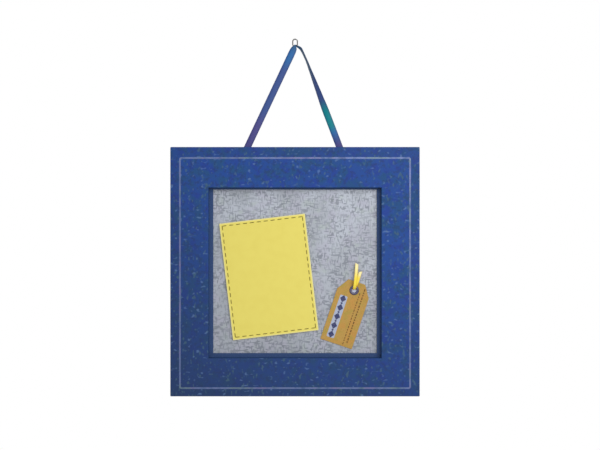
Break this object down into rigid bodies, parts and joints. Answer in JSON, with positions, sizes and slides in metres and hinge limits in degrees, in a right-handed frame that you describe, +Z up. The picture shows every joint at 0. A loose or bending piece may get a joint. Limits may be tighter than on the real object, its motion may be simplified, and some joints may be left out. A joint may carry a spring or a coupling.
{
  "type": "picture frame",
  "caption": "Square paper-wrapped picture frame hung by a ribbon from a wire ring, with a recessed panel that carries a slanted photo mat and a hang tag on an eyelet.",
  "frame": {"origin": "centre of the hanging ring", "axes": "+Z up, -Y out of the front of the frame towards the viewer, +X to the viewer's right"},
  "size_m": [0.254, 0.0194, 0.367],
  "materials": {
    "fibreboard": "raw medium-density fibreboard",
    "blue_paper": "blue flecked wrapping paper with a foil line",
    "navy_card": "navy card",
    "silver_paper": "silver-grey paper with dark flecks",
    "greyboard": "uncoated greyboard",
    "hardboard": "brown hardboard",
    "yellow_card": "yellow card with dark stitching",
    "foam": "white adhesive foam",
    "kraft_card": "ochre kraft card",
    "enamelled_metal": "slate-blue enamel",
    "yellow_ribbon": "yellow satin ribbon",
    "hanging_ribbon": "satin ribbon shading from violet to blue and teal",
    "nickel_wire": "nickel-plated wire",
    "zinc_steel": "zinc-plated steel"
  },
  "bodies": {
    "hook_ring": {"hanging_ring": "nickel_wire"},
    "ribbon": {"hanging_ribbon": "hanging_ribbon"},
    "frame": {"ribbon_end_left": "hanging_ribbon", "ribbon_end_right": "hanging_ribbon", "staple_left": "zinc_steel", "staple_right": "zinc_steel", "cover_paper": "blue_paper", "rail_top": "fibreboard", "rail_left": "fibreboard", "rail_bottom": "fibreboard", "rail_right": "fibreboard", "corner_nail_1": "zinc_steel", "corner_nail_2": "zinc_steel", "corner_nail_3": "zinc_steel", "corner_nail_4": "zinc_steel", "slip_top": "navy_card", "slip_left": "navy_card", "slip_bottom": "navy_card", "slip_right": "navy_card", "silver_paper": "silver_paper", "display_board": "greyboard", "backing_board": "hardboard", "turn_button_screw_top": "zinc_steel", "turn_button_screw_left": "zinc_steel", "turn_button_screw_bottom": "zinc_steel", "turn_button_screw_right": "zinc_steel", "photo_mat": "yellow_card", "foam_pad_1": "foam", "foam_pad_2": "foam", "foam_pad_3": "foam", "foam_pad_4": "foam"},
    "tag": {"tag_card": "kraft_card", "tag_eyelet": "enamelled_metal", "tag_tie": "yellow_ribbon"},
    "button_top": {"turn_button_top": "zinc_steel"},
    "button_left": {"turn_button_left": "zinc_steel"},
    "button_bottom": {"turn_button_bottom": "zinc_steel"},
    "button_right": {"turn_button_right": "zinc_steel"}
  },
  "joints": [
    {"name": "hang_swing", "type": "hinge", "parent": "hook_ring", "child": "ribbon", "pos_m": [0, 0, -0.0014], "axis": [0, 1, 0], "range_deg": [-15, 15]},
    {"name": "frame_tilt", "type": "hinge", "parent": "ribbon", "child": "frame", "pos_m": [0, 0, -0.1086], "axis": [-1, 0, 0], "range_deg": [0, 45]},
    {"name": "tag_pivot", "type": "hinge", "parent": "frame", "child": "tag", "pos_m": [0.0607, -0.007, -0.255], "axis": [0, -1, 0], "range_deg": [-3, 23]},
    {"name": "button_top_spin", "type": "hinge", "parent": "frame", "child": "button_top", "pos_m": [0, 0.0005, -0.13315], "axis": [0, 1, 0], "continuous": true},
    {"name": "button_left_spin", "type": "hinge", "parent": "frame", "child": "button_left", "pos_m": [-0.10245, 0.0005, -0.2356], "axis": [0, 1, 0], "continuous": true},
    {"name": "button_bottom_spin", "type": "hinge", "parent": "frame", "child": "button_bottom", "pos_m": [0, 0.0005, -0.33805], "axis": [0, 1, 0], "continuous": true},
    {"name": "button_right_spin", "type": "hinge", "parent": "frame", "child": "button_right", "pos_m": [0.10245, 0.0005, -0.2356], "axis": [0, 1, 0], "continuous": true}
  ]
}
